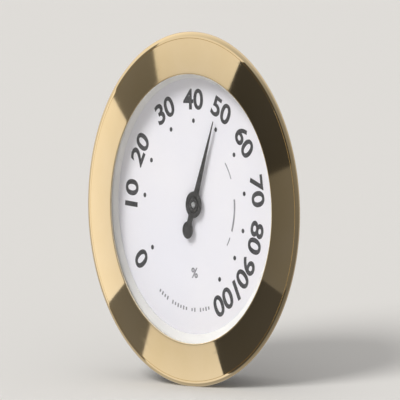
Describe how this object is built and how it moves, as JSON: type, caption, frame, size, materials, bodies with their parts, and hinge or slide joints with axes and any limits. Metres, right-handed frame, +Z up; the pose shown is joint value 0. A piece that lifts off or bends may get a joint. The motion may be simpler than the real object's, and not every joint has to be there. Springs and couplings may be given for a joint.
{
  "type": "dial hygrometer",
  "caption": "Round panel hygrometer: polished gold bezel, clear lens, white 0 to 100 dial, black pointer on a humidity coil, slotted calibration screw and vented black case.",
  "frame": {"origin": "centre of the plane where the bezel's flange meets the face of the panel, on the gauge's axis", "axes": "+Z up, +X to the right of a person who reads the dial, +Y along the axis into the panel, so the dial looks along -Y"},
  "size_m": [0.045, 0.0136, 0.045],
  "materials": {
    "polished_gold": "polished gold plate",
    "clear_lens": "clear, polished",
    "pale_gasket": "soft, satin",
    "white_plastic": "satin",
    "white_dial": "satin white enamel with black figures",
    "brass": "turned and stamped, satin",
    "steel": "satin",
    "coil_strip": "rolled copper-coloured strip, matt",
    "black_enamel": "satin black",
    "black_plastic": "moulded, fine spark texture",
    "black_rubber": "matt"
  },
  "bodies": {
    "housing": {"bezel": "polished_gold", "lens": "clear_lens", "lens_gasket": "pale_gasket", "spacer_ring": "white_plastic", "dial_plate": "white_dial", "movement_plate": "brass", "front_bush": "brass", "pillar_left": "brass", "pillar_right": "brass", "bridge_screw_left": "steel", "bridge_screw_right": "steel", "rear_bridge": "brass", "adjuster_washer": "steel", "case_shell": "black_plastic", "back_cover": "black_plastic", "back_screw_1": "steel", "back_screw_2": "steel", "back_screw_3": "steel", "grip_ring_front": "black_rubber", "grip_ring_rear": "black_rubber"},
    "adjuster": {"adjuster_screw": "brass", "coil_anchor": "brass", "hygroscopic_coil": "coil_strip", "coil_rivet": "steel"},
    "pointer": {"arbor": "steel", "collet": "brass", "pointer_hub": "black_enamel", "pointer": "black_enamel"}
  },
  "joints": [
    {"name": "adjuster_turn", "type": "hinge", "parent": "housing", "child": "adjuster", "pos_m": [0, 0, 0], "axis": [0, 1, 0], "range_deg": [-45, 45]},
    {"name": "pointer_spin", "type": "hinge", "parent": "adjuster", "child": "pointer", "pos_m": [0, 0, 0], "axis": [0, 1, 0], "range_deg": [-144, 129.4], "stiffness_Nm_per_rad": 0.00006, "deforming": ["hygroscopic_coil"]}
  ]
}
